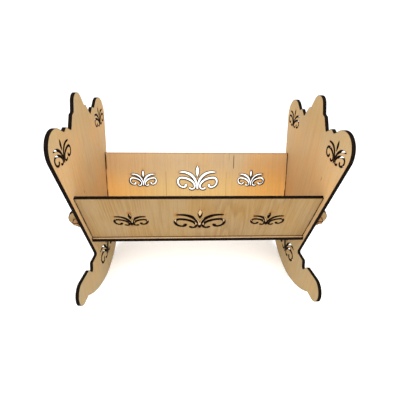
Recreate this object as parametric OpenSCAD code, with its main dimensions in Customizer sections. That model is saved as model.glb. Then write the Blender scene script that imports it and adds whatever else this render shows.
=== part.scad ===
// Rocking baby cradle, knocked down from flat plywood boards.
// Two shaped end panels stand on their curved lower edges. Two side boards lean outwards
// between them, and each is held by a round tab that passes through the panel and is
// locked by a wedge. The base panel lies on tenons in both end panels.
// The origin is on the floor, midway between the rockers. X runs along the cradle.

/* [Overall] */
// Clear length between the two end panels
inner_len = 840; // [640:10:1040]
// Height of the end panels, floor to crest
end_h = 789; // [650:1:950]
// Thickness of the plywood
ply = 12; // [9:0.5:15]

/* [Rockers] */
// Radius of the rocking edge
rocker_r = 400; // [380:5:600]
// Distance from the middle to the tip of a toe
toe_reach = 351; // [290:1:400]
// Length of the toe beyond the rocking edge
toe_len = 74; // [62:1:90]
// Height of the toe at its round end
toe_h = 94; // [78:1:113]

/* [Crest] */
// Rise of the crest above the round shoulders
crest_rise = 59; // [49:1:71]
// Radius of the round shoulders
shoulder_r = 64; // [54:1:77]

/* [Base panel] */
// Height of the base panel's top face
base_z = 270; // [240:1:324]
// Width of the base panel
base_w = 280; // [234:1:336]
// Width of each tenon of the base panel
base_tenon_w = 60; // [40:1:80]
// Distance between the middles of the base panel's two tenons
base_tenon_gap = 130; // [110:1:156]

/* [Side boards] */
// Height of a side board, along its slope
board_h = 236; // [200:1:283]
// Lean of the side boards from upright, in degrees
lean = 18.8; // [15:0.1:22]
// Ledge of the base panel outside the foot of each side board
ledge = 9; // [6:0.5:14]
// Gap between a side board's lower edge and the base panel
board_gap = 0.5; // [0.2:0.1:2]
// Border of the end panel outside a side board
edge_margin = 20; // [16:0.5:24]

/* [Tabs and wedges] */
// Radius of the round tab at each end of a side board
tab_r = 52; // [46:1:62]
// Width of a wedge where it enters its tab
wedge_w = 22; // [18:0.5:26]
// Length of the wedge outside its tab
wedge_head = 19; // [15:1:24]
// Length of the wedge that comes out behind its tab
wedge_tail = 20; // [14:1:24]
// Taper of the wedge, in degrees
wedge_taper = 4; // [2:0.5:6]
// Clearance around the tenons in the end panels
tenon_clear = 0.2; // [0.1:0.05:0.5]
// Clearance around the wedges in their tabs
wedge_clear = 0.1; // [0.05:0.05:0.3]

/* [Ornament] */
// Width of the large pierced flourish
large_w = 192; // [160:1:200]
// Width of the small pierced flourish
small_w = 126; // [105:1:140]
// Distance from the middle to the small flourishes of a side board
small_x = 252; // [210:1:280]
// Height of the large flourish's middle on an end panel
low_z = 128; // [115:1:150]
// How far the small flourish sits inwards from the middle of a round shoulder
high_in = 19; // [15:1:23]
// How far the small flourish sits below the middle of a round shoulder
high_down = 10; // [8:1:14]

/* [Hidden] */
end_color = [0.80, 0.65, 0.44];
board_color = [0.76, 0.60, 0.39];
base_color = [0.84, 0.70, 0.50];
wedge_color = [0.60, 0.42, 0.22];
arc_step = 6;        // angle between the points of a rounded corner
stroke_step = 12;    // angle between the points of a flourish
over = 1;            // how far a cut runs past the faces it opens
slot_bite = 2;       // how far a wedge slot reaches back under the end panel
toe_lift = 9;        // height of a toe's underside above the end of the rocking edge
waist_drop = 38;     // depth of the waist below the top of a toe

// Foot of a side board: the lower corner of its outer face
foot_y = base_w / 2 - ledge;
foot_z = base_z + board_gap;
tab_s = board_h / 2;

// Distance from the middle to the slanted edge of an end panel at height z
function edge_y(z) = foot_y + (z - foot_z) * tan(lean) + edge_margin / cos(lean);

// Rocker and toe
rocker_reach = toe_reach - toe_len;
rocker_end_z = rocker_r - sqrt(rocker_r * rocker_r - rocker_reach * rocker_reach);
toe_low_z = rocker_end_z + toe_lift;
toe_top_z = toe_low_z + toe_h;
waist_z = toe_top_z - waist_drop;

// Crest
shoulder_z = end_h - crest_rise;
shoulder_y = edge_y(shoulder_z) - shoulder_r * tan(45 + lean / 2);

// Corners of one half of an end panel, from the rocking edge up to the crest: [y, z, radius]
half_corners = [
  [rocker_reach, rocker_end_z, 0],
  [toe_reach, toe_low_z, toe_h / 2],
  [toe_reach, toe_top_z, toe_h / 2],
  [toe_reach - 127, toe_top_z - 25, 12],
  [toe_reach - 155, toe_top_z - 68, 9],
  [toe_reach - 171, toe_top_z - 30, 7],
  [edge_y(waist_z), waist_z, 8],
  [edge_y(shoulder_z), shoulder_z, shoulder_r],
  [shoulder_y - 20, shoulder_z, shoulder_r],
  [shoulder_y * 0.716, shoulder_z - 27, 8],
  [shoulder_y * 0.617, shoulder_z - 18, 8],
  [shoulder_y * 0.468, shoulder_z - 38, 6],
  [shoulder_y * 0.318, shoulder_z + 3, 9],
  [shoulder_y * 0.244, shoulder_z + 7, 5],
  [shoulder_y * 0.112, end_h, 40]
];

// Closed outline of corners p, each rounded by its own radius. A radius too large for its
// two sides is reduced until the arcs just meet.
function unit(v) = v / norm(v);
function xy(p) = [p[0], p[1]];
function turn(p, i) =
  let (n = len(p), a = xy(p[i]) - xy(p[(i + n - 1) % n]), b = xy(p[(i + 1) % n]) - xy(p[i]))
  atan2(a[0] * b[1] - a[1] * b[0], a * b);
function tangent(p, i) = p[i][2] * tan(abs(turn(p, i)) / 2);
function side_len(p, i) = norm(xy(p[(i + 1) % len(p)]) - xy(p[i]));
function room(p, i, j) = let (t = tangent(p, i) + tangent(p, (i + 1) % len(p)))
  t > 0 ? min(1, side_len(p, i) / t) : 1;
function corner(p, i) =
  let (
    n = len(p),
    t = turn(p, i),
    k = min(room(p, i), room(p, (i + n - 1) % n)),
    r = p[i][2] * k,
    d = unit(xy(p[i]) - xy(p[(i + n - 1) % n])),
    start = xy(p[i]) - d * tangent(p, i) * k,
    centre = start + sign(t) * r * [-d[1], d[0]],
    a0 = atan2(start[1] - centre[1], start[0] - centre[0]),
    steps = max(1, ceil(abs(t) / arc_step))
  )
  r == 0 ? [xy(p[i])] : [for (j = [0:steps]) centre + r * [cos(a0 + t * j / steps), sin(a0 + t * j / steps)]];
function rounded(p) = [for (i = [0:len(p) - 1]) each corner(p, i)];
function mirrored(p) = [for (i = [len(p) - 1:-1:0]) [-p[i][0], p[i][1], p[i][2]]];

// A flourish stroke follows a chain of arcs. Each arc is [radius, turn, width at its end],
// for a flourish 192 wide; a positive turn bends to the left. A stroke has round ends.
function arc_points(start, heading, w0, arc, k) =
  let (steps = max(1, ceil(abs(arc[1]) / stroke_step)), r = arc[0] * k * sign(arc[1]))
  [for (j = [1:steps]) let (a = heading + arc[1] * j / steps) [
    start[0] + r * (sin(a) - sin(heading)),
    start[1] - r * (cos(a) - cos(heading)),
    a,
    w0 + (arc[2] - w0) * j / steps
  ]];
function chain(start, heading, w0, arcs, k, i = 0) =
  i == len(arcs) ? [] :
  let (part = arc_points(start, heading, w0, arcs[i], k), last = part[len(part) - 1])
  concat(part, chain([last[0], last[1]], last[2], last[3], arcs, k, i + 1));
function edge_point(q, s, k) = [q[0], q[1]] + s * q[3] / 2 * k * [-sin(q[2]), cos(q[2])];
function cap(q, from, k) = [for (a = [1:5])
  [q[0], q[1]] + q[3] / 2 * k * [cos(q[2] + from + a * 30), sin(q[2] + from + a * 30)]];
function stroke(start, heading, w0, arcs, k) =
  let (
    path = concat([[start[0] * k, start[1] * k, heading, w0]],
      chain(start * k, heading, w0, arcs, k)),
    n = len(path)
  )
  concat(
    [for (q = path) edge_point(q, -1, k)],
    cap(path[n - 1], -90, k),
    [for (i = [n - 1:-1:0]) edge_point(path[i], 1, k)],
    cap(path[0], 90, k)
  );

leaf_arcs = [[100, 9, 6.5], [100, 16, 10.5], [66, 31, 12], [66, 32, 7.5], [200, 4, 4]];
scroll_arcs = [
  [10.5, -90, 7.5], [27, -90, 8], [18, -90, 9.5], [80, -30, 10], [52, -25, 9],
  [26, -35, 7.5], [13, -90, 7], [13, -50, 9]
];
bud_points = [[0, 59], [4.5, 49], [7, 39], [7.4, 31], [5, 18], [0, 5], [-5, 18], [-7.4, 31], [-7, 39], [-4.5, 49]];

// Pierced flourish: a bud over two leaves and two scrolls
module flourish(w) {
  k = w / 192;
  polygon(bud_points * k);
  for (m = [0, 1]) {
    mirror([m, 0]) {
      polygon(stroke([0, -49], 92, 8, leaf_arcs, k));
      polygon(stroke([-54, -32], -90, 11, scroll_arcs, k));
    }
  }
}

// Outline of an end panel, in Y and Z
module end_outline() {
  polygon(rounded(concat(half_corners, mirrored(half_corners))));
  intersection() {
    translate([0, rocker_r]) circle(r = rocker_r, $fn = 360);
    translate([-rocker_reach, 0]) square([2 * rocker_reach, rocker_end_z + over]);
  }
}

// Everything that is cut through an end panel
module end_cuts() {
  translate([0, low_z]) flourish(large_w);
  for (m = [0, 1]) {
    mirror([m, 0]) {
      translate([shoulder_y - high_in, shoulder_z - shoulder_r - high_down]) flourish(small_w);
      translate([foot_y, foot_z]) rotate(-lean)
        translate([-ply - tenon_clear, tab_s - tab_r - tenon_clear])
          square([ply + 2 * tenon_clear, 2 * (tab_r + tenon_clear)]);
      translate([base_tenon_gap / 2 - base_tenon_w / 2 - tenon_clear, base_z - ply - tenon_clear])
        square([base_tenon_w + 2 * tenon_clear, ply + 2 * tenon_clear]);
    }
  }
}

// End panel with its inner face at x = 0
module end_panel() {
  rotate([90, 0, 90]) linear_extrude(ply) difference() {
    end_outline();
    end_cuts();
  }
}

module left_end_panel() {
  color(end_color) translate([-inner_len / 2 - ply, 0, 0]) end_panel();
}

module right_end_panel() {
  color(end_color) translate([inner_len / 2, 0, 0]) end_panel();
}

// Puts what is drawn in a side board's plane in its place: x along the cradle, y up the
// slope, z from the outer face inwards. The front is the mirror image of the rear.
module on_board(front) {
  mirror([0, front ? 1 : 0, 0])
    translate([0, foot_y, foot_z])
      rotate([90 - lean, 0, 0])
        children();
}

// Flat shape of a side board, with a round tab and its wedge slot at each end
module board_outline() {
  difference() {
    union() {
      translate([-inner_len / 2, 0]) square([inner_len, board_h]);
      for (s = [-1, 1]) translate([s * inner_len / 2, tab_s]) circle(r = tab_r, $fn = 96);
    }
    for (m = [0, 1]) {
      mirror([m, 0]) {
        translate([inner_len / 2 + ply - slot_bite, tab_s - ply / 2 - wedge_clear])
          square([slot_bite + wedge_w + wedge_clear, ply + 2 * wedge_clear]);
        translate([small_x, tab_s]) flourish(small_w);
      }
    }
    translate([0, tab_s]) flourish(large_w);
  }
}

module side_board(front) {
  color(board_color) on_board(front) linear_extrude(ply) board_outline();
}

module front_side_board() {
  side_board(true);
}

module rear_side_board() {
  side_board(false);
}

// Base panel, with two tenons in each end panel, flush with its outer face
module base_panel() {
  color(base_color) translate([0, 0, base_z - ply]) linear_extrude(ply) {
    translate([-inner_len / 2, -base_w / 2]) square([inner_len, base_w]);
    for (s = [-1, 1])
      translate([-inner_len / 2 - ply, s * base_tenon_gap / 2 - base_tenon_w / 2])
        square([inner_len + 2 * ply, base_tenon_w]);
  }
}

// Wedge that locks a tab against the outer face of its end panel. It lies across the tab,
// and its outer side is tapered.
module wedge(front, left) {
  lead = tan(wedge_taper);
  profile = [
    [wedge_clear, -wedge_head, 3],
    [wedge_w + wedge_head * lead, -wedge_head, 5],
    [wedge_w - (ply + wedge_tail) * lead, ply + wedge_tail, 5],
    [wedge_clear, ply + wedge_tail, 3]
  ];
  color(wedge_color) mirror([left ? 1 : 0, 0, 0]) on_board(front)
    translate([inner_len / 2 + ply, tab_s + ply / 2, 0])
      rotate([90, 0, 0]) linear_extrude(ply) polygon(rounded(profile));
}

module front_left_wedge() {
  wedge(true, true);
}

module front_right_wedge() {
  wedge(true, false);
}

module rear_left_wedge() {
  wedge(false, true);
}

module rear_right_wedge() {
  wedge(false, false);
}

left_end_panel();
right_end_panel();
front_side_board();
rear_side_board();
base_panel();
front_left_wedge();
front_right_wedge();
rear_left_wedge();
rear_right_wedge();
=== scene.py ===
"""Looks for the baby cradle: laser-cut birch plywood, camera, floor and studio light."""
import math

import bpy
from mathutils import Matrix, Vector


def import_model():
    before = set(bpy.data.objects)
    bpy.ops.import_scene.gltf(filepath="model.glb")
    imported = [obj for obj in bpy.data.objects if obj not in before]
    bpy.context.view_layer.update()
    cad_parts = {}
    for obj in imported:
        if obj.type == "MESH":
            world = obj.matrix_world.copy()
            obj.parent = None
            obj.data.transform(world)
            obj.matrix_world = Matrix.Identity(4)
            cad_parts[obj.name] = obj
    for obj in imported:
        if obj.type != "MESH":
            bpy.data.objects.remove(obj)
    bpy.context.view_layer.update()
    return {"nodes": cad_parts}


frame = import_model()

NODES = frame["nodes"]
MM = 0.001


def rgb(r, g, b):
    return (r, g, b, 1.0)


# Camera at the photograph's angle, found from the cradle's corners and outlines: metres, degrees, mm
CAMERA_AT = (-0.0394, -1.0051, 0.9723)
CAMERA_YAW = 2.631
CAMERA_PITCH = 31.182
CAMERA_ROLL = 1.174
CAMERA_LENS = 25.04
CAMERA_SENSOR = 36.0
CAMERA_FAR = 200.0

# The boards' places, as in the CAD
PLY = 12 * MM
INNER_HALF = 420 * MM
BOARD_H = 236 * MM
LEAN = math.radians(18.8)
FOOT_Y = 131 * MM
FOOT_Z = 270.5 * MM

# The flourishes' sizes and places: on the side boards, low on the end panels and at their shoulders
LARGE_W = 192 * MM
SMALL_W = 126 * MM
SMALL_X = 252 * MM
LOW_Z = 128 * MM
HIGH_Y = 200.2 * MM
HIGH_Z = 656 * MM

# Each board's own directions
ORIGIN = Vector((0, 0, 0))
X = Vector((1, 0, 0))
Y = Vector((0, 1, 0))
Z = Vector((0, 0, 1))
FRONT_UP = Vector((0, -math.sin(LEAN), math.cos(LEAN)))
FRONT_OUT = Vector((0, -math.cos(LEAN), -math.sin(LEAN)))
FRONT_FOOT = Vector((0, -FOOT_Y, FOOT_Z))
REAR_UP = Vector((0, math.sin(LEAN), math.cos(LEAN)))
REAR_OUT = Vector((0, math.cos(LEAN), -math.sin(LEAN)))
REAR_FOOT = Vector((0, FOOT_Y, FOOT_Z))

# Heat stains at the ends of a flourish's strokes: place and radius (flourish one unit wide), strength
STROKE_ENDS = (
    ((0.0, 0.31), 0.085, 1.0),      # bud
    ((0.435, 0.15), 0.075, 0.8),    # leaf
    ((0.28, -0.17), 0.06, 0.6),     # scroll
    ((0.03, -0.27), 0.08, 0.6),     # stem
)

# Veneers, each running between two tones
PANEL_FACE = (rgb(0.505, 0.35, 0.186), rgb(0.545, 0.34, 0.155))
# The side boards' outer faces: the same ply as the inner faces, painted darker as shade
SHADED_OUTER_FACE = (rgb(0.312, 0.213, 0.106), rgb(0.312, 0.196, 0.078))
INNER_FACE = (rgb(0.445, 0.335, 0.205), rgb(0.48, 0.325, 0.168))
BASE_FACE = (rgb(0.66, 0.49, 0.30), rgb(0.64, 0.45, 0.25))
# The wedges: the same ply, painted darker as shade
SHADED_WEDGE_FACE = (rgb(0.36, 0.20, 0.09), rgb(0.28, 0.15, 0.06))

# Tints that multiply the veneer: grain
RING_TINT = rgb(0.62, 0.50, 0.36)
DARK_STREAK = rgb(0.74, 0.62, 0.46)
PALE_STREAK = rgb(1.12, 1.10, 1.06)
FIBRE_TINT = rgb(0.72, 0.60, 0.46)
PORE_TINT = rgb(0.50, 0.36, 0.24)

# Tints that multiply the veneer: laser burns
HEAT_TINT = rgb(0.42, 0.24, 0.11)
RIM_TINT = rgb(0.05, 0.035, 0.03)
STAIN_TINT = rgb(0.86, 0.50, 0.20)

# Tints that multiply the veneer: lines where boards meet, some partly painted shade, and differences over a
# board, mostly painted light and shade
# Dark joint line at a side board's ends: the gap, partly painted shade
JOINT_GAP_SHADE = rgb(0.16, 0.08, 0.05)
FOOT_LINE = rgb(0.36, 0.20, 0.11)
SEAM = rgb(0.40, 0.22, 0.11)
SPLIT = rgb(0.16, 0.08, 0.04)
ORANGE = rgb(0.98, 0.84, 0.58)
# Painted light on a side board's inner face: lighter and warmer low down and towards the ends, where the
# boards and panels shade it
FOOT_PAINTED_LIGHT = rgb(1.36, 1.34, 1.00)
ENDS_PAINTED_LIGHT = rgb(1.22, 1.07, 0.90)
# Painted shade on the end panels' legs and crest
LEG_PAINTED_SHADE = rgb(0.72, 0.79, 0.82)
CREST_PAINTED_SHADE = rgb(0.83, 0.90, 0.93)

# The cut edge: charred all over, with the plies showing a little browner
CHAR = rgb(0.0035, 0.0025, 0.0020)
CHAR_PLIES = rgb(0.014, 0.008, 0.005)
PLIES = 4.5

# The wood's sheen and relief
WOOD_IOR = 1.5
WOOD_SPECULAR = 0.03
BUMP_STRENGTH = 0.12
BUMP_HEIGHT = 0.15 * MM

# Rear board's inner face: veneer joints and splits
JOINT_W = 1.6 * MM
SPLIT_W = 3.0 * MM
REAR_LINES = (
    # (across the grain, line width, from height, to height, strength, tint)
    (-146 * MM, JOINT_W, 0.0, 150 * MM, 1.00, SEAM),
    (134 * MM, JOINT_W, 0.0, 150 * MM, 0.65, SEAM),
    (146 * MM, JOINT_W, 200 * MM, BOARD_H, 0.70, SEAM),
    (168 * MM, SPLIT_W, 165 * MM, BOARD_H - 12 * MM, 1.00, SPLIT),
    (-INNER_HALF, 12 * MM, 160 * MM, BOARD_H - 10 * MM, 0.90, SPLIT),
    (INNER_HALF, 11 * MM, 30 * MM, 62 * MM, 0.85, SPLIT),
)

# Studio
WHITE = rgb(1.0, 1.0, 1.0)
FLOOR_HALF = 30.0
FLOOR_WHITE = rgb(0.95, 0.95, 0.95)
FLOOR_MOTTLE = rgb(0.80, 0.80, 0.80)
FLOOR_ROUGHNESS = 0.9
FLOOR_SPECULAR = 0.1
FLOOR_GLOW = rgb(0.92, 0.97, 1.0)
FLOOR_GLOW_STRENGTH = 0.18
WORLD_STRENGTH = 1.12
SIDE_WATTS = 34
FRONT_WATTS = 24


class Graph:
    """Short calls for building a material's nodes."""

    def __init__(self, name):
        self.material = bpy.data.materials.new(name)
        self.material.use_nodes = True
        self.tree = self.material.node_tree
        self.tree.nodes.clear()

    def node(self, kind, inputs=(), **settings):
        made = self.tree.nodes.new("ShaderNode" + kind)
        for key, value in settings.items():
            setattr(made, key, value)
        for key, value in dict(inputs).items():
            if isinstance(value, bpy.types.NodeSocket):
                self.tree.links.new(value, made.inputs[key])
            else:
                made.inputs[key].default_value = value
        return made

    def math(self, operation, *values):
        return self.node("Math", enumerate(values), operation=operation).outputs[0]

    def times(self, a, b):
        return self.math("MULTIPLY", a, b)

    def dot(self, a, b):
        made = self.node("VectorMath", {0: a, 1: b}, operation="DOT_PRODUCT")
        return made.outputs["Value"]

    def vector(self, x, y, z):
        return self.node("CombineXYZ", {"X": x, "Y": y, "Z": z}).outputs[0]

    def span(self, value, low, high, to_low=0.0, to_high=1.0):
        """value from low..high to to_low..to_high in a smooth step, held at both ends."""
        made = self.node("MapRange", interpolation_type="SMOOTHSTEP", inputs={
            "Value": value, "From Min": low, "From Max": high, "To Min": to_low, "To Max": to_high})
        return made.outputs["Result"]

    def noise(self, place, detail=2.0, roughness=0.5, scale=1.0):
        made = self.node("TexNoise", noise_dimensions="3D", inputs={
            "Vector": place, "Scale": scale, "Detail": detail, "Roughness": roughness})
        return made.outputs["Fac"]

    def face_noise(self, side, along, side_scale, along_scale, seed, detail=2.0, roughness=0.5):
        """Noise on a board's face, with its own scale across the grain and along it."""
        place = self.vector(self.times(side, side_scale), self.times(along, along_scale), seed)
        return self.noise(place, detail, roughness)

    def mix(self, fac, a, b, blend="MIX"):
        made = self.node("Mix", {0: fac, 6: a, 7: b}, data_type="RGBA", blend_type=blend, clamp_factor=True)
        return made.outputs[2]

    def tint(self, fac, colour, by):
        return self.mix(fac, colour, by, "MULTIPLY")

    def mix_value(self, fac, a, b):
        return self.node("Mix", {0: fac, 2: a, 3: b}, data_type="FLOAT", clamp_factor=True).outputs[0]

    def most(self, values):
        total = values[0]
        for value in values[1:]:
            total = self.math("MAXIMUM", total, value)
        return total

    def finish(self, shader):
        out = self.node("OutputMaterial")
        self.tree.links.new(shader.outputs[0], out.inputs["Surface"])
        return self.material


def glow(g, a, b, at, radius):
    """1 at a point of the board's face, falling to 0 at radius."""
    da = g.math("SUBTRACT", a, at[0])
    db = g.math("SUBTRACT", b, at[1])
    away = g.math("SQRT", g.math("ADD", g.times(da, da), g.times(db, db)))
    return g.span(away, 0.0, radius, 1.0, 0.0)


def stripe(g, side, along, at, width, low, high):
    """1 on a line along the grain, of that width, between two heights."""
    away = g.math("ABSOLUTE", g.math("SUBTRACT", side, at))
    line = g.span(away, width * 0.25, width * 0.75, 1.0, 0.0)
    fade = 6 * MM
    start = g.span(along, low - fade, low + fade)
    end = g.span(along, high - fade, high + fade, 1.0, 0.0)
    return g.times(line, g.times(start, end))


def flourish_glows(g, side, along, height, width, strength):
    """Heat stains at a flourish's stroke ends. side is the distance from the flourish's own middle."""
    stains = []
    for (x, y), radius, share in STROKE_ENDS:
        spot = glow(g, side, along, (x * width, height + y * width), radius * width + 5 * MM)
        stains.append(g.times(spot, share * strength))
    return g.most(stains)


def fold_middle(g, side):
    """Distance from the board's middle."""
    return g.math("ABSOLUTE", side)


def fold_small(g, side):
    """Distance from the nearer small flourish of a side board."""
    return g.math("ABSOLUTE", g.math("SUBTRACT", g.math("ABSOLUTE", side), SMALL_X))


def fold_high(g, side):
    """Distance from the nearer shoulder flourish of an end panel."""
    return g.math("ABSOLUTE", g.math("SUBTRACT", g.math("ABSOLUTE", side), HIGH_Y))


def veneer(g, side, along, inside, seed, figure, tones, inner):
    """The veneer's colour, and its streaks and fibres for the bump. figure is how strong the grain is."""
    # Slow wander of the grain
    drift = g.face_noise(side, along, 3.0, 2.2, seed)
    bent = g.math("ADD", side, g.times(g.math("SUBTRACT", drift, 0.5), 0.030))

    # Flat-cut figure: contour lines of a field stretched along the grain
    field = g.face_noise(bent, along, 9.0, 0.75, seed + 3.7, 1.0, 0.35)
    phase = g.math("FRACT", g.times(field, 22.0))
    rings = g.times(g.span(phase, 0.0, 0.80), g.span(phase, 0.80, 1.0, 1.0, 0.0))
    rings = g.times(rings, g.span(g.face_noise(side, along, 6.0, 4.0, seed + 9.1), 0.40, 0.64))

    # Fibres and pores
    streak = g.face_noise(bent, along, 150.0, 5.0, seed + 1.3, 3.0, 0.6)
    fibre = g.face_noise(bent, along, 900.0, 26.0, seed + 2.9, 3.0, 0.65)
    pores = g.span(g.face_noise(bent, along, 1500.0, 140.0, seed + 5.9, 1.0), 0.68, 0.76)

    mottle = g.span(g.face_noise(side, along, 7.0, 5.0, seed + 7.7, 3.0, 0.55), 0.32, 0.68)
    wood = g.mix(mottle, *tones)
    if inner:
        wood = g.mix(inside, wood, g.mix(mottle, *inner))
    wood = g.tint(g.times(rings, 0.40 * figure), wood, RING_TINT)
    wood = g.tint(g.span(streak, 0.42, 0.70, 0.0, 0.34 * figure + 0.10), wood, DARK_STREAK)
    wood = g.tint(g.span(streak, 0.46, 0.28, 0.0, 0.22), wood, PALE_STREAK)
    wood = g.tint(g.span(fibre, 0.40, 0.75, 0.0, 0.26), wood, FIBRE_TINT)
    wood = g.tint(g.times(pores, 0.45), wood, PORE_TINT)
    return wood, streak, fibre


def burnt(g, wood, side, along, seed, scorch, clean_top):
    """Brown heat stain and dark rim beside the cuts, but no rim above the height clean_top."""
    near_cut = g.node("AmbientOcclusion", {"Distance": scorch}, samples=8, inside=True, only_local=True)
    patchy = g.face_noise(side, along, 90.0, 90.0, seed, 1.0)
    heat = g.times(g.span(near_cut.outputs["AO"], 0.97, 0.60), g.span(patchy, 0.30, 0.70, 0.20, 0.65))
    wood = g.tint(heat, wood, HEAT_TINT)
    rim = g.times(g.span(near_cut.outputs["AO"], 0.84, 0.72), 0.94)
    if clean_top:
        rim = g.times(rim, g.span(along, clean_top - 8 * MM, clean_top - 4 * MM, 1.0, 0.0))
    return g.tint(rim, wood, RIM_TINT)


def stained(g, wood, side, along, seed, stains):
    """Patchy stains at the flourishes. A stain is (fold, height, flourish width, strength)."""
    spots = g.most([flourish_glows(g, fold(g, side), along, height, width, strength)
                    for fold, height, width, strength in stains])
    patchy = g.face_noise(side, along, 34.0, 34.0, seed + 4.4)
    return g.tint(g.times(spots, g.span(patchy, 0.36, 0.62, 0.15, 1.0)), wood, STAIN_TINT)


def charred_edge(g, side, along, depth):
    """Charred cut edge, with the plies faintly showing."""
    layer = g.math("FRACT", g.math("DIVIDE", depth, PLY / PLIES))
    plies = g.times(g.span(layer, 0.42, 0.50), g.span(layer, 0.92, 1.0, 1.0, 0.0))
    soot = g.noise(g.vector(g.times(side, 60.0), g.times(along, 60.0), g.times(depth, 400.0)))
    return g.mix(g.times(plies, g.span(soot, 0.35, 0.70, 0.1, 0.9)), CHAR, CHAR_PLIES)


def plywood(name, grain, across, face, origin, tones, seed, figure, inner=None, marks=None, stains=(),
            scorch=5.0 * MM, clean_top=0.0, sawn_ends=False):
    """Birch plywood with a charred cut edge.

    grain, across and face are the board's directions, and face points out of its outer side. inner is the
    veneer of the other side, where that differs; on the side boards the outer face's darker veneer is painted
    shade. marks returns the board's own (mask, tint) pairs, some of them painted light and shade. With
    sawn_ends, the ends across the grain are clean wood too.
    """
    g = Graph(name)
    coords = g.node("TexCoord")
    place = g.node("VectorMath", {0: coords.outputs["Object"], 1: origin}, operation="SUBTRACT").outputs[0]
    along = g.dot(place, grain)
    side = g.dot(place, across)
    depth = g.dot(place, face)
    outward = g.dot(coords.outputs["Normal"], face)
    inside = g.span(outward, 0.1, -0.1)
    facing = g.math("ABSOLUTE", outward)
    if sawn_ends:
        facing = g.math("MAXIMUM", facing, g.math("ABSOLUTE", g.dot(coords.outputs["Normal"], grain)))
    is_face = g.span(facing, 0.35, 0.65)

    wood, streak, fibre = veneer(g, side, along, inside, seed, figure, tones, inner)
    wood = burnt(g, wood, side, along, seed, scorch, clean_top)
    if stains:
        wood = stained(g, wood, side, along, seed, stains)
    if marks:
        for mask, shade in marks(g, side, along, inside):
            wood = g.tint(mask, wood, shade)

    surface = g.mix(is_face, charred_edge(g, side, along, depth), wood)
    rough = g.mix_value(is_face, 0.95, g.span(fibre, 0.2, 0.8, 0.54, 0.68))
    height = g.math("ADD", g.times(fibre, 0.6), g.times(streak, 0.4))
    bump = g.node("Bump", {"Height": height, "Strength": BUMP_STRENGTH, "Distance": BUMP_HEIGHT})
    return g.finish(g.node("BsdfPrincipled", {
        "Base Color": surface, "Roughness": rough, "Normal": bump.outputs[0],
        "Specular IOR Level": WOOD_SPECULAR, "IOR": WOOD_IOR}))


def board_edges(g, side, along):
    """Dark line where a side board meets the end panels, a joint partly painted shade in its gap, and where
    it meets the base.
    """
    away = g.math("ABSOLUTE", side)
    ends = g.times(g.span(away, INNER_HALF - 5.0 * MM, INNER_HALF - 2.5 * MM),
                   g.span(away, INNER_HALF + PLY, INNER_HALF + PLY + 5 * MM, 1.0, 0.0))
    foot = g.span(along, 8.5 * MM, 5.0 * MM, 0.0, 0.85)
    dashes = g.span(g.face_noise(side, along, 40.0, 26.0, 8.5), 0.35, 0.62, 0.55, 1.0)
    return [(g.times(ends, dashes), JOINT_GAP_SHADE), (foot, FOOT_LINE)]


def inner_painted_light(g, side, along, inside):
    """Painted light: the inner face of a side board is lighter and warmer towards its foot and its two ends,
    against the shade there.
    """
    foot = g.times(inside, g.span(along, 200 * MM, 40 * MM))
    ends = g.times(inside, g.span(g.math("ABSOLUTE", side), 160 * MM, 360 * MM))
    return [(foot, FOOT_PAINTED_LIGHT), (ends, ENDS_PAINTED_LIGHT)]


def front_marks(g, side, along, inside):
    return inner_painted_light(g, side, along, inside) + board_edges(g, side, along)


def rear_marks(g, side, along, inside):
    """Veneer joints, splits and an orange patch on the inner face, besides what the front board has."""
    made = []
    for at, width, low, high, strength, shade in REAR_LINES:
        made.append((g.times(stripe(g, side, along, at, width, low, high), g.times(inside, strength)), shade))
    patch = glow(g, side, along, (330 * MM, 110 * MM), 150 * MM)
    made.append((g.times(patch, g.times(inside, 0.75)), ORANGE))
    return made + front_marks(g, side, along, inside)


def panel_painted_shade(g, along):
    """Painted shade: the legs and the crest are a little darker than the middle of a panel."""
    leg = g.span(along, 300 * MM, 200 * MM)
    crest = g.span(along, 600 * MM, 730 * MM)
    return [(leg, LEG_PAINTED_SHADE), (crest, CREST_PAINTED_SHADE)]


def left_marks(g, side, along, inside):
    """A short dark split, on both faces, and the panel's painted shade."""
    dash = stripe(g, side, along, -110 * MM, SPLIT_W, 462 * MM, 474 * MM)
    return [(dash, SPLIT)] + panel_painted_shade(g, along)


def right_marks(g, side, along, inside):
    """A short dark split, on both faces, and the panel's painted shade."""
    dash = stripe(g, side, along, -155 * MM, SPLIT_W, 536 * MM, 548 * MM)
    return [(dash, SPLIT)] + panel_painted_shade(g, along)


def panel_birch(name, seed, marks):
    stains = ((fold_middle, LOW_Z, LARGE_W, 0.35), (fold_high, HIGH_Z, SMALL_W, 0.35))
    return plywood(name, Z, Y, X, ORIGIN, PANEL_FACE, seed, 0.35, marks=marks, stains=stains,
                   scorch=2.8 * MM)


def board_stains(strength):
    return ((fold_middle, BOARD_H / 2, LARGE_W, strength), (fold_small, BOARD_H / 2, SMALL_W, strength))


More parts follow.
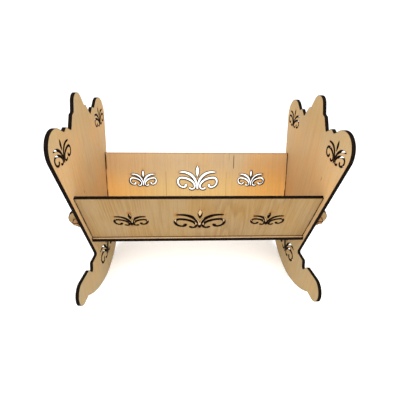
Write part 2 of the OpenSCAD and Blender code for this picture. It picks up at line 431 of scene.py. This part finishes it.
def finishes():
    """The material of every CAD node, by the node's name."""
    made = {
        "left_end_panel": panel_birch("left_panel_birch", 11.0, left_marks),
        "right_end_panel": panel_birch("right_panel_birch", 23.0, right_marks),
        "front_side_board": plywood(
            "front_board_birch", FRONT_UP, X, FRONT_OUT, FRONT_FOOT, SHADED_OUTER_FACE, 37.0, 0.85,
            inner=INNER_FACE, marks=front_marks, stains=board_stains(1.0), scorch=4.0 * MM),
        "rear_side_board": plywood(
            "rear_board_birch", REAR_UP, X, REAR_OUT, REAR_FOOT, SHADED_OUTER_FACE, 53.0, 0.3,
            inner=INNER_FACE, marks=rear_marks, stains=board_stains(0.45), scorch=8.0 * MM,
            clean_top=BOARD_H),
        "base_panel": plywood("base_birch", Y, X, Z, ORIGIN, BASE_FACE, 71.0, 0.4),
    }
    for place, out, up in (("front", FRONT_OUT, FRONT_UP), ("rear", REAR_OUT, REAR_UP)):
        for hand in ("left", "right"):
            name = f"{place}_{hand}_wedge"
            made[name] = plywood(
                name + "_birch", out, X, up, ORIGIN, SHADED_WEDGE_FACE, 90.0 + len(name), 0.6, sawn_ends=True)
    return made


def stage_material(name):
    g = Graph(name)
    coords = g.node("TexCoord")
    mottle = g.noise(coords.outputs["Object"], 3.0, scale=3.0)
    tone = g.mix(g.span(mottle, 0.3, 0.7, 0.0, 0.03), FLOOR_WHITE, FLOOR_MOTTLE)
    return g.finish(g.node("BsdfPrincipled", {
        "Base Color": tone, "Roughness": FLOOR_ROUGHNESS, "Specular IOR Level": FLOOR_SPECULAR,
        "Emission Color": FLOOR_GLOW, "Emission Strength": FLOOR_GLOW_STRENGTH}))


def floor():
    half = FLOOR_HALF
    corners = [(-half, -half, 0), (half, -half, 0), (half, half, 0), (-half, half, 0)]
    mesh = bpy.data.meshes.new("studio_floor")
    mesh.from_pydata(corners, [], [(0, 1, 2, 3)])
    made = bpy.data.objects.new("studio_floor", mesh)
    bpy.context.scene.collection.objects.link(made)
    mesh.materials.append(stage_material("studio_floor_white"))


def world():
    made = bpy.data.worlds.new("studio_white")
    made.use_nodes = True
    background = made.node_tree.nodes["Background"]
    background.inputs["Color"].default_value = WHITE
    background.inputs["Strength"].default_value = WORLD_STRENGTH
    bpy.context.scene.world = made


def camera():
    yaw, pitch, roll = (math.radians(v) for v in (CAMERA_YAW, CAMERA_PITCH, CAMERA_ROLL))
    ahead = Vector((math.sin(yaw) * math.cos(pitch), math.cos(yaw) * math.cos(pitch), -math.sin(pitch)))
    right = Vector((math.cos(yaw), -math.sin(yaw), 0))
    up = right.cross(ahead)
    rolled_right = math.cos(roll) * right + math.sin(roll) * up
    rolled_up = math.cos(roll) * up - math.sin(roll) * right
    data = bpy.data.cameras.new("photo_camera")
    data.lens = CAMERA_LENS
    data.sensor_width = CAMERA_SENSOR
    data.clip_end = CAMERA_FAR
    made = bpy.data.objects.new("photo_camera", data)
    turn = Matrix((rolled_right, rolled_up, -ahead)).transposed()
    made.matrix_world = Matrix.Translation(CAMERA_AT) @ turn.to_4x4()
    bpy.context.scene.collection.objects.link(made)
    bpy.context.scene.camera = made


def softbox(name, at, target, size, watts):
    data = bpy.data.lights.new(name, "AREA")
    data.shape = "RECTANGLE"
    data.size, data.size_y = size
    data.energy = watts
    made = bpy.data.objects.new(name, data)
    made.location = at
    made.rotation_euler = (Vector(target) - Vector(at)).to_track_quat("-Z", "Y").to_euler()
    bpy.context.scene.collection.objects.link(made)


for node_name, material in finishes().items():
    for slot in NODES[node_name].material_slots:
        slot.material = material

floor()
world()
camera()
softbox("left_softbox", (-1.5, -1.2, 2.5), (0, 0.1, 0.4), (1.5, 1.5), SIDE_WATTS)
softbox("right_softbox", (1.5, -1.2, 2.5), (0, 0.1, 0.4), (1.5, 1.5), SIDE_WATTS)
softbox("front_softbox", (0, -1.9, 2.5), (0, 0.15, 0.4), (1.6, 1.2), FRONT_WATTS)
bpy.context.scene.view_settings.view_transform = "Standard"
